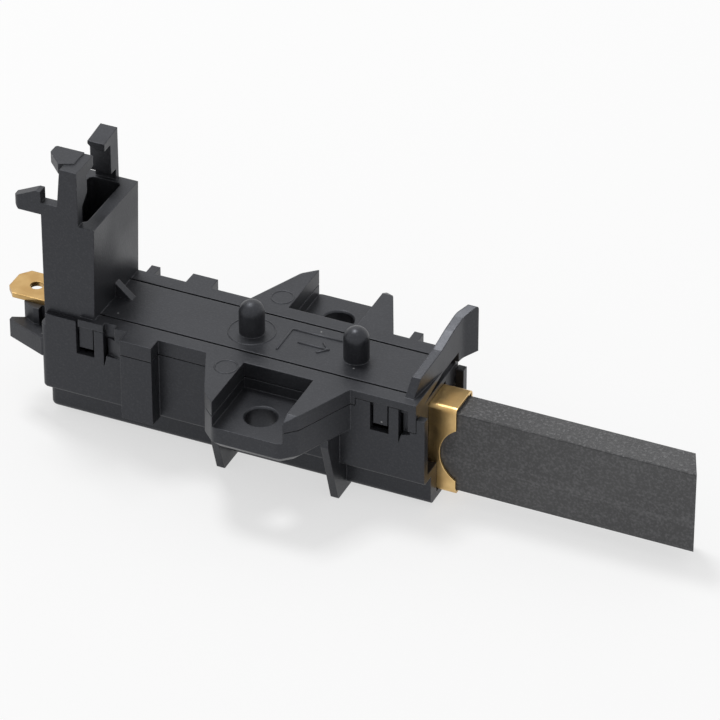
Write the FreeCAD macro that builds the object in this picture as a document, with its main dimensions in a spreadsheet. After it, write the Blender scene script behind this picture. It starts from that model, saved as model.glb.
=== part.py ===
"""Carbon brush in its two-part black holder, with the blade terminal, guide tube, spring and shunt.

Frame: millimetres, +Z up, +X towards the tip of the carbon, Y across the holder. The origin lies
midway between the two screw holes, on the seat under the wings.
"""
import FreeCAD
import Part
import Sketcher
import os
import re

SIZES = [
    # Housing, measured from the line through the screw holes and from the seat plane
    ("housing_back", 38.0),
    ("housing_front", 22.8),
    ("housing_width", 15.2),
    ("keel_width", 10.4),
    ("deck_height", 8.2),
    ("deck_thick", 2.4),
    ("step_depth", 5.3),
    ("keel_depth", 10.25),
    ("wall", 1.2),
    ("lip", 0.8),
    ("lip_drop", 0.45),
    ("lip_back_end", 25.9),
    ("lip_front_start", 12.0),
    ("rim_thick", 1.2),
    ("parting_gap", 0.15),
    ("parting_inset", 0.4),
    ("edge_round", 0.9),
    ("step_round", 0.5),
    # Bosses on the two sides
    ("boss_place", 21.4),
    ("boss_length", 5.0),
    ("far_boss_place", 20.55),
    ("far_boss_length", 5.7),
    ("far_boss_ramp", 1.7),
    ("boss_reach", 2.4),
    ("far_lug_length", 2.2),
    ("far_lug_ramp", 0.8),
    ("far_lug_reach", 1.9),
    ("far_lug_back", 27.9),
    ("far_lug_front", 14.1),
    # Wings, their screw pockets and the fins below them
    ("wing_span", 37.0),
    ("wing_root", 23.2),
    ("wing_shoulder", 14.7),
    ("wing_tip", 10.4),
    ("shoulder_inset", 2.0),
    ("wing_round", 1.5),
    ("wing_undercut", 1.4),
    ("floor_thick", 3.95),
    ("pocket_back", 5.3),
    ("pocket_front", 5.6),
    ("tip_run", 1.9),
    ("tip_step", 0.6),
    ("tip_shoulder", 0.7),
    ("tip_drop", 1.8),
    ("hole_spacing", 26.6),
    ("hole_bore", 4.6),
    ("hole_rim", 0.25),
    ("fin_spacing", 18.1),
    ("fin_thick", 1.15),
    ("fin_reach", 11.6),
    ("fin_foot", 8.1),
    ("fin_depth", 11.2),
    ("fin_root", 1.5),
    ("fin_round", 0.6),
    # Snap lugs of the cover and their windows in the shell
    ("snap_back", 32.15),
    ("snap_front", 14.35),
    ("window_length", 2.9),
    ("window_floor", 2.2),
    ("post_length", 1.5),
    ("slot_length", 1.8),
    ("ramp_length", 2.9),
    ("slot_floor", 3.0),
    ("slit_floor", 1.0),
    ("slit_width", 0.4),
    ("slit_drop", 0.4),
    ("lug_clear", 0.35),
    ("lug_inset", 0.4),
    ("lug_drop", 5.0),
    # Plug tower with its hooks
    ("tower_inset", 0.5),
    ("tower_length", 8.0),
    ("tower_lean", 0.4),
    ("tower_near", 6.8),
    ("tower_wall", 1.5),
    ("tower_height", 15.5),
    ("socket_round", 0.8),
    ("arm_inset", 3.2),
    ("arm_length", 2.7),
    ("arm_draft", 0.8),
    ("arm_thick", 3.2),
    ("arm_height", 24.5),
    ("arm_foot_low", 2.6),
    ("arm_foot_high", 4.1),
    ("nose_reach", 2.15),
    ("nose_face", 1.7),
    ("nose_depth", 1.95),
    ("wedge_reach", 3.15),
    ("wedge_tip", 1.8),
    ("wedge_bevel", 2.4),
    ("wedge_notch", 0.9),
    ("wedge_thick", 1.7),
    ("wedge_rise", 0.2),
    ("wedge_round", 0.4),
    ("far_arm_inset", 0.6),
    ("far_arm_length", 2.7),
    ("far_arm_flank", 0.6),
    ("far_arm_thick", 2.4),
    ("far_arm_height", 23.9),
    ("far_arm_strip", 0.9),
    ("far_arm_slope", 0.5),
    ("far_nose_reach", 1.9),
    ("far_nose_face", 1.15),
    ("far_nose_bevel", 0.7),
    ("far_foot_height", 1.8),
    ("barb_reach", 4.4),
    ("barb_width", 1.6),
    ("barb_low", 0.6),
    ("barb_bevel", 0.75),
    ("barb_round", 0.9),
    ("barb_nose", 2.65),
    ("barb_crest", 0.75),
    ("barb_high", 4.4),
    ("barb_slot_floor", 2.55),
    ("rib_length", 2.7),
    ("rib_height", 2.4),
    ("rib_thick", 1.2),
    # Deck details
    ("pin_place", 7.57),
    ("pin_spacing", 16.45),
    ("pin_bore", 3.8),
    ("pin_height", 5.2),
    ("pin_dome", 1.82),
    ("groove_gap", 10.06),
    ("groove_width", 0.36),
    ("groove_depth", 0.35),
    # Front wall and the flange that stands on it
    ("front_wall_start", 20.2),
    ("front_wall", 1.25),
    ("front_wall_depth", 4.7),
    ("flange_thick", 1.35),
    ("flange_near", 20.35),
    ("flange_lean", 1.75),
    ("flange_reach", 2.6),
    ("flange_turn", 1.35),
    ("flange_rise", 6.8),
    ("flange_drop", 1.1),
    ("flange_near_step", 1.4),
    ("flange_low_place", 3.35),
    ("flange_low", 2.4),
    ("flange_mid_place", 9.25),
    ("flange_mid", 3.65),
    ("flange_high_place", 12.5),
    ("flange_high", 5.0),
    ("flange_shoulder", 5.8),
    ("flange_tip_round", 0.7),
    ("flange_bend_round", 2.7),
    ("flange_bend_shift", 0.5),
    ("foot_slot", 1.6),
    ("foot_slot_rise", 0.55),
    ("foot_slot_near", 3.0),
    ("foot_slot_far", 1.1),
    # Guide tube
    ("tube_width", 6.0),
    ("tube_height", 14.8),
    ("tube_wall", 0.4),
    ("tube_round", 0.8),
    ("tube_front", 25.66),
    ("notch_height", 8.8),
    ("notch_depth", 2.5),
    ("notch_drop", 0.6),
    # Carbon
    ("carbon_width", 5.0),
    ("carbon_height", 13.5),
    ("carbon_length", 44.0),
    ("carbon_reach", 36.3),
    ("tip_bevel", 2.1),
    ("carbon_round", 0.3),
    # Terminal
    ("blade_width", 6.3),
    ("blade_thick", 0.8),
    ("blade_reach", 8.0),
    ("blade_point", 1.3),
    ("blade_nose", 3.2),
    ("blade_hole", 2.0),
    ("blade_hole_place", 3.7),
    ("seat_plate_width", 5.6),
    ("seat_inset", 1.5),
    ("bend_round", 0.7),
    # Spring and shunt
    ("spring_width", 4.6),
    ("spring_wire", 0.5),
    ("spring_turns", 7),
    ("shunt_bore", 1.6),
    # Tongue and block at the rear
    ("tongue_reach", 6.4),
    ("tongue_thick", 3.0),
    ("tongue_height", 3.1),
    ("tongue_inset", 0.2),
    ("tongue_width", 6.4),
    ("tongue_tip_near", 2.5),
    ("tongue_tip", 0.7),
    ("tongue_tip_far", 1.3),
    ("tongue_shoulder", 1.5),
    ("block_reach", 4.7),
    ("block_near", 3.2),
    ("block_far", 5.2),
    ("block_nose", 1.1),
    ("block_slope", 2.7),
    ("block_slit", 1.3),
    ("block_slit_start", 0.5),
    # Clearances
    ("slide_clear", 0.1),
    ("seat_clear", 0.1),
    ("fit_clear", 0.1),
]

NAMES = [alias for alias, value in SIZES]
DOC = FreeCAD.newDocument("CarbonBrush")


def make_sheet():
    """Write every driving dimension into the sheet, each under its alias."""
    sheet = DOC.addObject("Spreadsheet::Sheet", "Sizes")
    for row, (alias, value) in enumerate(SIZES, start=1):
        cell = "A%d" % row
        sheet.set(cell, str(value))
        sheet.setAlias(cell, alias)
    DOC.recompute()
    return sheet


SHEET = make_sheet()


def bound(text):
    """Expression in which each size's name is read from the sheet."""
    word = lambda match: "Sizes." + match.group() if match.group() in NAMES else match.group()
    return re.sub(r"[a-z_]+", word, text)


def value(text):
    """Number that an expression of sizes gives."""
    return float(SHEET.evalExpression(bound(text)))


def new_body(name):
    """Body whose label is the node's name."""
    body = DOC.addObject("PartDesign::Body", name)
    body.Label = name
    return body


def new_sketch(body, name, role, offset="0"):
    """Sketch on one of the body's own planes, moved along the plane's normal by an expression."""
    sketch = body.newObject("Sketcher::SketchObject", name)
    plane = [item for item in body.Origin.OriginFeatures if item.Role == role][0]
    sketch.AttachmentSupport = [(plane, "")]
    sketch.MapMode = "FlatFace"
    sketch.setExpression("AttachmentOffset.Base.z", bound(offset))
    return sketch


def fix_point(sketch, geometry, point, place):
    """Hold one point of a sketch at two expressions, measured from the sketch's origin."""
    for kind, text in zip(("DistanceX", "DistanceY"), place):
        index = sketch.addConstraint(Sketcher.Constraint(kind, geometry, point, value(text)))
        sketch.setExpression("Constraints[%d]" % index, bound(text))


def outline(sketch, corners):
    """Closed outline of straight edges; each corner is a pair of expressions."""
    places = [FreeCAD.Vector(value(a), value(b), 0) for a, b in corners]
    first = sketch.GeometryCount
    count = len(corners)
    for index in range(count):
        edge = Part.LineSegment(places[index], places[(index + 1) % count])
        sketch.addGeometry(edge, False)
    for index in range(count):
        after = first + (index + 1) % count
        sketch.addConstraint(Sketcher.Constraint("Coincident", first + index, 2, after, 1))
        fix_point(sketch, first + index, 1, corners[index])


def rectangle(sketch, left, right, low, high):
    """Rectangle between four expressions."""
    outline(sketch, [(left, low), (right, low), (right, high), (left, high)])


def circle(sketch, across, up, radius):
    """Circle whose centre and radius are expressions."""
    centre = FreeCAD.Vector(value(across), value(up), 0)
    item = sketch.addGeometry(Part.Circle(centre, FreeCAD.Vector(0, 0, 1), value(radius)), False)
    fix_point(sketch, item, 3, (across, up))
    index = sketch.addConstraint(Sketcher.Constraint("Radius", item, value(radius)))
    sketch.setExpression("Constraints[%d]" % index, bound(radius))


def settle(feature):
    """Compute a new feature and stop where it fails, with its name."""
    DOC.recompute()
    if "Invalid" in feature.State or feature.Shape.isNull():
        raise RuntimeError("%s: %s" % (feature.Name, feature.getStatusString()))
    return feature


def pad(body, sketch, length, reverse=False, both=False):
    """Material from the sketch along its normal."""
    feature = body.newObject("PartDesign::Pad", sketch.Name + "_pad")
    feature.Profile = sketch
    feature.setExpression("Length", bound(length))
    feature.Reversed = reverse
    feature.Midplane = both
    return settle(feature)


def pocket(body, sketch, length, reverse=False, both=False):
    """Cut from the sketch; the volume must fall, so a cut that points away is found at once."""
    before = body.Shape.Volume
    feature = body.newObject("PartDesign::Pocket", sketch.Name + "_cut")
    feature.Profile = sketch
    feature.setExpression("Length", bound(length))
    feature.Reversed = reverse
    feature.Midplane = both
    settle(feature)
    if not feature.Shape.Volume < before:
        raise RuntimeError(feature.Name + " cuts nothing")
    return feature


def edges_of(shape, test):
    """Names of the edges whose middle passes a test of x, y, z and direction."""
    names = []
    for index, edge in enumerate(shape.Edges, start=1):
        if edge.Degenerated:
            continue
        middle = edge.valueAt((edge.FirstParameter + edge.LastParameter) / 2)
        way = edge.tangentAt((edge.FirstParameter + edge.LastParameter) / 2)
        if test(middle.x, middle.y, middle.z, way):
            names.append("Edge%d" % index)
    return names


def soften(body, name, kind, size, test):
    """Fillet or chamfer on the edges that pass the test."""
    base = body.Tip
    names = edges_of(base.Shape, test)
    feature = body.newObject("PartDesign::" + kind, name)
    feature.Base = (base, names)
    feature.setExpression("Radius" if kind == "Fillet" else "Size", bound(size))
    return settle(feature)


def near(a, b):
    """Two lengths agree to a hundredth of a millimetre."""
    return abs(a - b) < 0.01


# Heights and places that several pieces share, as expressions of the sizes
SPLIT = "(deck_height - deck_thick)"
HALF = "(housing_width / 2)"
LIP_IN = "(housing_width / 2 - lip)"
DECK_IN = "(housing_width / 2 - lip - fit_clear)"
FAR_LIP = "(far_lug_front + far_lug_length / 2)"
TUBE_TOP = "(deck_height - deck_thick - fit_clear)"
TUBE_LOW = "(deck_height - deck_thick - fit_clear - tube_height)"
TUBE_MID = "(deck_height - deck_thick - fit_clear - tube_height / 2)"
CHANNEL = "(tube_width / 2 + fit_clear)"
CHAMBER_BACK = "(-housing_back + wall)"
TOWER_START = "(-housing_back + tower_inset)"
TOWER_END = "(-housing_back + tower_inset + tower_length)"
TOWER_TOP = "(deck_height + tower_height)"
ARM_START = "(-housing_back + tower_inset + arm_inset)"
SEAT_FACE = "(-housing_back + tower_inset + tower_length - seat_inset)"
POST_TOP = "(deck_height - rim_thick - fit_clear)"
BACK_POST = "(-snap_back + window_length + post_length)"
WALL_FRONT = "(front_wall_start + front_wall)"
CARBON_BACK = "(tube_front + carbon_reach - carbon_length)"
CARBON_LOW = "(deck_height - deck_thick - fit_clear - tube_height + tube_wall + slide_clear)"
CARBON_MID = "(" + CARBON_LOW + " + carbon_height / 2)"


def wing_corners(side):
    """Outline of one wing from the housing's side to its outer edge; side is -1 near or 1 far."""
    flank = "%d * (housing_width / 2 - wall / 2)" % side
    shoulder = "%d * (wing_span / 2 - shoulder_inset)" % side
    edge = "%d * wing_span / 2" % side
    left = [("-wing_root / 2", flank), ("-wing_shoulder / 2", shoulder), ("-wing_tip / 2", edge)]
    right = [("wing_tip / 2", edge), ("wing_shoulder / 2", shoulder), ("wing_root / 2", flank)]
    return left + right


def is_wing_corner(x, y, z, way):
    """Upright edge at a shoulder or tip corner of a wing."""
    upright = abs(way.z) > 0.99
    inner = value("wing_span / 2 - shoulder_inset")
    shoulder = near(abs(x), value("wing_shoulder / 2")) and near(abs(y), inner)
    tip = near(abs(x), value("wing_tip / 2")) and near(abs(y), value("wing_span / 2"))
    return upright and (shoulder or tip)


def far_block(body, name, start, end, ramp, reach):
    """Block on the far side of the deck whose rear flank is a ramp."""
    sketch = new_sketch(body, name, "XZ_Plane", "-(" + LIP_IN + " - wall)")
    outline(sketch, [
        (start, SPLIT),
        (end, SPLIT),
        (end, "deck_height"),
        (start + " + " + ramp, "deck_height"),
    ])
    pad(body, sketch, "lip + wall + " + reach, reverse=True)


def cover_deck(body):
    """Deck plate, narrower where the shell's lips stand beside it, with its rims and side blocks."""
    sketch = new_sketch(body, "deck", "XY_Plane", SPLIT)
    outline(sketch, [
        (TOWER_START, "-" + DECK_IN),
        ("-lip_back_end", "-" + DECK_IN),
        ("-lip_back_end", "-" + HALF),
        ("lip_front_start", "-" + HALF),
        ("lip_front_start", "-" + DECK_IN),
        ("front_wall_start", "-" + DECK_IN),
        ("front_wall_start", DECK_IN),
        (FAR_LIP, DECK_IN),
        (FAR_LIP, HALF),
        (TOWER_START, HALF),
    ])
    pad(body, sketch, "deck_thick")
    sketch = new_sketch(body, "deck_rims", "XY_Plane", "deck_height - rim_thick")
    inside = "(housing_width / 2 - wall)"
    rectangle(sketch, "-snap_back + lug_clear", BACK_POST, "-" + HALF, "-" + inside)
    rectangle(sketch, "lip_front_start - wall", "front_wall_start", "-" + HALF, "-" + inside)
    rectangle(sketch, "snap_front + lug_clear", "snap_front + window_length + post_length", inside, HALF)
    pad(body, sketch, "rim_thick")
    sketch = new_sketch(body, "near_boss", "XY_Plane", SPLIT)
    rectangle(sketch, "-boss_place - boss_length / 2", "-boss_place + boss_length / 2",
              "-(housing_width / 2 + boss_reach)", "-" + inside)
    pad(body, sketch, "deck_thick")
    far_block(body, "far_boss", "-far_boss_place - far_boss_length / 2",
              "-far_boss_place + far_boss_length / 2", "far_boss_ramp", "boss_reach")
    far_block(body, "far_lug_rear", "-far_lug_back - far_lug_length / 2",
              "-far_lug_back + far_lug_length / 2", "far_lug_ramp", "far_lug_reach")
    far_block(body, "far_lug_fore", "far_lug_front - far_lug_length / 2",
              "far_lug_front + far_lug_length / 2", "far_lug_ramp", "far_lug_reach")


def cover_gussets(body):
    """Triangular gussets of the wings, with the screw pocket left open between them."""
    for side, word in ((-1, "near"), (1, "far")):
        sketch = new_sketch(body, "gusset_" + word, "XY_Plane", SPLIT)
        outline(sketch, wing_corners(side))
        pad(body, sketch, "deck_thick")
    soften(body, "gusset_round", "Fillet", "wing_round", is_wing_corner)
    for side, word in ((-1, "near"), (1, "far")):
        sketch = new_sketch(body, "pocket_" + word, "XY_Plane", "deck_height")
        rectangle(sketch, "-pocket_back", "pocket_front",
                  "%d * housing_width / 2" % side, "%d * (wing_span / 2 + wall)" % side)
        pocket(body, sketch, "deck_thick + wall")
    sketch = new_sketch(body, "gusset_tips", "YZ_Plane")
    for side in (-1, 1):
        outline(sketch, [
            ("%d * (wing_span / 2 - tip_run)" % side, "deck_height"),
            ("%d * (wing_span / 2 - tip_step)" % side, "deck_height - tip_shoulder"),
            ("%d * wing_span / 2" % side, "deck_height - tip_drop"),
            ("%d * (wing_span / 2 + wall)" % side, "deck_height - tip_drop"),
            ("%d * (wing_span / 2 + wall)" % side, "deck_height + wall"),
            ("%d * (wing_span / 2 - tip_run)" % side, "deck_height + wall"),
        ])
    pocket(body, sketch, "wing_root / 2", reverse=True)


def cover_snaps(body):
    """Lugs that hang into the shell's windows."""
    sketch = new_sketch(body, "snap_lugs", "XY_Plane", "deck_height - lug_drop")
    for start in ("-snap_back", "snap_front"):
        for side in (-1, 1):
            rectangle(sketch, start + " + lug_clear", start + " + window_length - lug_clear",
                      "%d * (housing_width / 2 - wall - lip / 2)" % side,
                      "%d * (housing_width / 2 - lug_inset)" % side)
    pad(body, sketch, "lug_drop - lip_drop")


def cover_tower(body):
    """Plug tower: a socket open at the top, its +X face leaning out, with a rib at its foot."""
    sketch = new_sketch(body, "tower", "XZ_Plane", "tower_near")
    outline(sketch, [
        (TOWER_START, "deck_height - deck_thick / 2"),
        (TOWER_END, "deck_height - deck_thick / 2"),
        (TOWER_END + " + tower_lean", TOWER_TOP),
        (TOWER_START, TOWER_TOP),
    ])
    pad(body, sketch, "tower_near + " + HALF, reverse=True)

    sketch = new_sketch(body, "socket", "XY_Plane", TOWER_TOP)
    left = TOWER_START + " + tower_wall"
    right = TOWER_END + " - tower_wall"
    rectangle(sketch, left, right, "-tower_near + tower_wall", HALF + " - tower_wall")
    pocket(body, sketch, "tower_height")
    inner_x = (value(left), value(right))
    inner_y = (value("-tower_near + tower_wall"), value("housing_width / 2 - tower_wall"))
    soften(body, "socket_corner", "Fillet", "socket_round", lambda x, y, z, way: abs(way.z) > 0.99
           and any(near(x, item) for item in inner_x) and any(near(y, item) for item in inner_y))

    sketch = new_sketch(body, "foot_rib", "XZ_Plane", "0")
    outline(sketch, [
        (TOWER_END + " - tower_wall / 2", "deck_height - deck_thick / 2"),
        (TOWER_END + " + rib_length", "deck_height - deck_thick / 2"),
        (TOWER_END + " + rib_length", "deck_height"),
        (TOWER_END, "deck_height + rib_height"),
        (TOWER_END + " - tower_wall / 2", "deck_height + rib_height"),
    ])
    pad(body, sketch, "rib_thick", reverse=True)


def cover_near_arm(body):
    """Near hook on the tower: an arm with a thinner foot, its nose and the wedge at its rear."""
    head = "(deck_height + arm_height)"
    root = "(" + TOWER_TOP + " - tower_wall)"
    inner = "(-tower_near + arm_thick)"
    end = "(-tower_near + arm_thick + nose_reach)"
    sketch = new_sketch(body, "near_arm", "YZ_Plane", ARM_START + " - arm_draft")
    outline(sketch, [
        ("-tower_near", root),
        ("-tower_near", head),
        (end, head),
        (end, head + " - nose_face"),
        (inner, head + " - nose_depth"),
        (inner, TOWER_TOP + " + arm_foot_high"),
        ("-tower_near + tower_wall", TOWER_TOP + " + arm_foot_low"),
        ("-tower_near + tower_wall", root),
    ])
    pad(body, sketch, "arm_length + arm_draft")

    sketch = new_sketch(body, "arm_taper", "XZ_Plane", "tower_near + wall")
    outline(sketch, [
        (ARM_START + " - arm_draft", TOWER_TOP),
        (ARM_START, head),
        (ARM_START, head + " + wall"),
        (ARM_START + " - arm_draft - wall", head + " + wall"),
        (ARM_START + " - arm_draft - wall", TOWER_TOP),
    ])
    pocket(body, sketch, "wall + tower_near + " + HALF)

    low = head + " + wedge_rise - wedge_thick"
    sketch = new_sketch(body, "wedge", "XY_Plane", low)
    tip = ARM_START + " - wedge_reach"
    side = end + " - wedge_tip - wedge_bevel"
    outline(sketch, [
        (ARM_START + " + arm_length / 2", side + " + wedge_notch"),
        (tip + " + wedge_bevel", side),
        (tip, end + " - wedge_tip"),
        (tip, end),
        (ARM_START + " + arm_length / 2", end),
    ])
    pad(body, sketch, "wedge_thick")
    tip_x = value(tip)
    middle = value(low + " + wedge_thick / 2")
    soften(body, "wedge_corners", "Fillet", "wedge_round", lambda x, y, z, way: near(x, tip_x)
           and near(z, middle) and abs(way.z) > 0.99)


def cover_barb(body):
    """Barb behind the near arm, and the raised stretch of the tower's near wall between them."""
    sketch = new_sketch(body, "barb", "XZ_Plane", "tower_near")
    tip = TOWER_START + " - barb_reach"
    outline(sketch, [
        (ARM_START + " + arm_length / 4", TOWER_TOP + " - tower_wall"),
        (ARM_START + " + arm_length / 4", TOWER_TOP + " + barb_slot_floor"),
        (TOWER_START, TOWER_TOP + " + barb_slot_floor"),
        (TOWER_START, TOWER_TOP + " + barb_high"),
        (TOWER_START + " - barb_crest", TOWER_TOP + " + barb_high"),
        (tip, TOWER_TOP + " + barb_nose"),
        (tip, TOWER_TOP + " + barb_low + barb_bevel"),
        (tip + " + barb_bevel", TOWER_TOP + " + barb_low"),
        (TOWER_START, TOWER_TOP + " + barb_low"),
        (TOWER_START, TOWER_TOP + " - tower_wall"),
    ])
    pad(body, sketch, "barb_width", reverse=True)
    tip_x = value(tip)
    side = -value("tower_near")
    soften(body, "barb_corner", "Fillet", "barb_round", lambda x, y, z, way: near(x, tip_x)
           and near(y, side) and abs(way.z) > 0.99)


def cover_far_arm(body):
    """Far hook on the tower, wider below its bevelled nose and thinner at its foot."""
    head = "(deck_height + far_arm_height)"
    front = "(housing_width / 2 - far_arm_thick)"
    start = ARM_START + " - far_arm_inset"
    low = head + " - far_arm_slope - far_nose_face"
    foot = [
        (front, TOWER_TOP + " + far_foot_height"),
        (HALF + " - far_arm_strip", TOWER_TOP + " + far_foot_height"),
        (HALF + " - far_arm_strip", TOWER_TOP + " - tower_wall"),
        (HALF, TOWER_TOP + " - tower_wall"),
    ]
    sketch = new_sketch(body, "far_arm", "YZ_Plane", start)
    outline(sketch, foot + [
        (HALF, head),
        (front + " - far_nose_reach", head + " - far_arm_slope"),
        (front + " - far_nose_reach", low),
        (front, low),
    ])
    pad(body, sketch, "far_arm_length")
    sketch = new_sketch(body, "far_flank", "YZ_Plane", start + " - far_arm_flank")
    outline(sketch, foot + [(HALF, low), (front, low)])
    pad(body, sketch, "far_arm_flank + far_arm_length / 2")
    sketch = new_sketch(body, "far_nose_bevel_cut", "XZ_Plane", "-" + front)
    outline(sketch, [
        (start, low),
        (start + " + far_nose_bevel", low),
        (start, low + " + far_nose_bevel"),
    ])
    pocket(body, sketch, "far_nose_reach + wall", reverse=True)


def cover_pins(body):
    """Two round-headed pins on the deck."""
    sketch = new_sketch(body, "pins", "XY_Plane", "deck_height - deck_thick / 2")
    circle(sketch, "-pin_place", "0", "pin_bore / 2")
    circle(sketch, "-pin_place + pin_spacing", "0", "pin_bore / 2")
    pad(body, sketch, "pin_height + deck_thick / 2")
    top = value("deck_height + pin_height")
    soften(body, "pin_domes", "Fillet", "pin_dome",
           lambda x, y, z, way: near(z, top) and abs(way.z) < 0.01 and abs(y) < value("pin_bore"))


def cover_grooves(body):
    """Two fine grooves along the deck, from the tower to the flange."""
    sketch = new_sketch(body, "deck_grooves", "XY_Plane", "deck_height")
    for side in (-1, 1):
        rectangle(sketch, TOWER_END, "flange_near - flange_thick",
                  "%d * groove_gap / 2 - groove_width / 2" % side,
                  "%d * groove_gap / 2 + groove_width / 2" % side)
    pocket(body, sketch, "groove_depth")


def cover_front(body):
    """Front wall that closes the shell, and the leaning flange on it with its turned-out end."""
    sketch = new_sketch(body, "front_wall_face", "YZ_Plane", "front_wall_start")
    low = "(deck_height - front_wall_depth)"
    outline(sketch, [
        ("-" + HALF, low),
        ("-" + CHANNEL, low),
        ("-" + CHANNEL, SPLIT),
        (CHANNEL, SPLIT),
        (CHANNEL, low),
        (HALF, low),
        (HALF, "deck_height"),
        ("-" + HALF, "deck_height"),
    ])
    pad(body, sketch, "front_wall")

    sketch = new_sketch(body, "flange_plan", "XY_Plane", "deck_height - flange_drop")
    bend = "(flange_near + flange_lean)"
    end = "(housing_width / 2 + flange_reach)"
    outline(sketch, [
        ("flange_near", "-" + HALF),
        (bend, HALF),
        (bend + " + flange_turn", end),
        (bend + " + flange_turn - flange_thick", end),
        (bend + " - flange_thick", HALF + " + flange_bend_shift"),
        ("flange_near - flange_thick", "-" + HALF),
    ])
    pad(body, sketch, "flange_drop + flange_rise")
    top = value("deck_height + flange_rise")
    bend_x = value(bend)
    half = value("housing_width / 2")
    soften(body, "flange_bend", "Fillet", "flange_bend_round", lambda x, y, z, way: abs(way.z) > 0.99
           and (near(x, bend_x) or near(x, bend_x - value("flange_thick"))) and half < y + 0.01 < value(end))
    soften(body, "flange_corner", "Fillet", "flange_tip_round", lambda x, y, z, way: near(z, top)
           and near(y, value(end)) and abs(way.x) > 0.9)

    sketch = new_sketch(body, "flange_top", "YZ_Plane", "flange_near - 2 * flange_thick")
    high = "(deck_height + flange_rise + wall)"
    outline(sketch, [
        ("-housing_width / 2 - wall", "deck_height"),
        ("-housing_width / 2 + flange_near_step", "deck_height"),
        ("-housing_width / 2 + flange_low_place", "deck_height + flange_low"),
        ("-housing_width / 2 + flange_mid_place", "deck_height + flange_mid"),
        ("-housing_width / 2 + flange_high_place", "deck_height + flange_high"),
        (HALF, "deck_height + flange_shoulder"),
        (end, "deck_height + flange_rise"),
        (end, high),
        ("-housing_width / 2 - wall", high),
    ])
    pocket(body, sketch, "3 * flange_thick + flange_lean", reverse=True)

    sketch = new_sketch(body, "foot_slot", "YZ_Plane", "front_wall_start")
    outline(sketch, [
        ("-housing_width / 2 + foot_slot_near", "deck_height - foot_slot"),
        ("housing_width / 2 - foot_slot_far", "deck_height - foot_slot"),
        ("housing_width / 2 - foot_slot_far", "deck_height + foot_slot_rise"),
    ])
    pocket(body, sketch, "flange_lean + 2 * flange_thick", reverse=True)


def cover_terminal_slot(body):
    """Slot under the deck for the terminal's blade."""
    sketch = new_sketch(body, "blade_slot", "XY_Plane", SPLIT)
    rectangle(sketch, TOWER_START + " - wall", SEAT_FACE + " + fit_clear",
              "-blade_width / 2 - fit_clear", "blade_width / 2 + fit_clear")
    pocket(body, sketch, "blade_thick + fit_clear", reverse=True)


def make_cover():
    """Upper half of the holder."""
    body = new_body("cover")
    cover_deck(body)
    cover_gussets(body)
    cover_snaps(body)
    cover_tower(body)
    cover_near_arm(body)
    cover_barb(body)
    cover_far_arm(body)
    cover_pins(body)
    cover_grooves(body)
    cover_front(body)
    cover_terminal_slot(body)
    return body


def shell_walls(body):
    """Outer body: wide upper half, narrow lower half, lips beside the deck and bosses."""
    sketch = new_sketch(body, "upper", "XY_Plane", "-step_depth")
    rectangle(sketch, "-housing_back", "housing_front", "-" + HALF, HALF)
    pad(body, sketch, "step_depth + " + SPLIT)
    sketch = new_sketch(body, "keel", "XY_Plane", "-keel_depth")
    rectangle(sketch, "-housing_back", "housing_front", "-keel_width / 2", "keel_width / 2")
    pad(body, sketch, "keel_depth")
    rear = value("-housing_back")
    soften(body, "rear_edges", "Fillet", "edge_round",
           lambda x, y, z, way: near(x, rear) and abs(way.z) > 0.99)
    sketch = new_sketch(body, "parting", "XY_Plane", SPLIT)
    rectangle(sketch, "-lip_back_end", "lip_front_start",
              "-" + HALF + " - wall", "-" + HALF + " + parting_inset")
    rectangle(sketch, "-housing_back - wall", FAR_LIP, HALF + " - parting_inset", HALF + " + wall")
    pocket(body, sketch, "parting_gap")
    sketch = new_sketch(body, "lips", "XY_Plane", SPLIT + " - wall")
    end = "front_wall_start - fit_clear"
    rectangle(sketch, FAR_LIP + " + fit_clear", end, LIP_IN, HALF)
    rectangle(sketch, "-housing_back + edge_round", BACK_POST, "-" + HALF, "-" + LIP_IN)
    pad(body, sketch, "deck_thick + wall - lip_drop")
    sketch = new_sketch(body, "low_lip", "XY_Plane", SPLIT + " - wall")
    rectangle(sketch, "lip_front_start + fit_clear", end, "-" + HALF, "-" + LIP_IN)
    pad(body, sketch, POST_TOP + " - " + SPLIT + " + wall")
    sketch = new_sketch(body, "bosses", "XY_Plane", "-step_depth")
    reach = "(housing_width / 2 + boss_reach)"
    rectangle(sketch, "-boss_place - boss_length / 2", "-boss_place + boss_length / 2",
              "-" + reach, "-" + HALF + " + wall / 2")
    rectangle(sketch, "-far_boss_place - far_boss_length / 2", "-far_boss_place + far_boss_length / 2",
              HALF + " - wall / 2", reach)
    pad(body, sketch, "step_depth + " + SPLIT + " - parting_gap")


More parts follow.
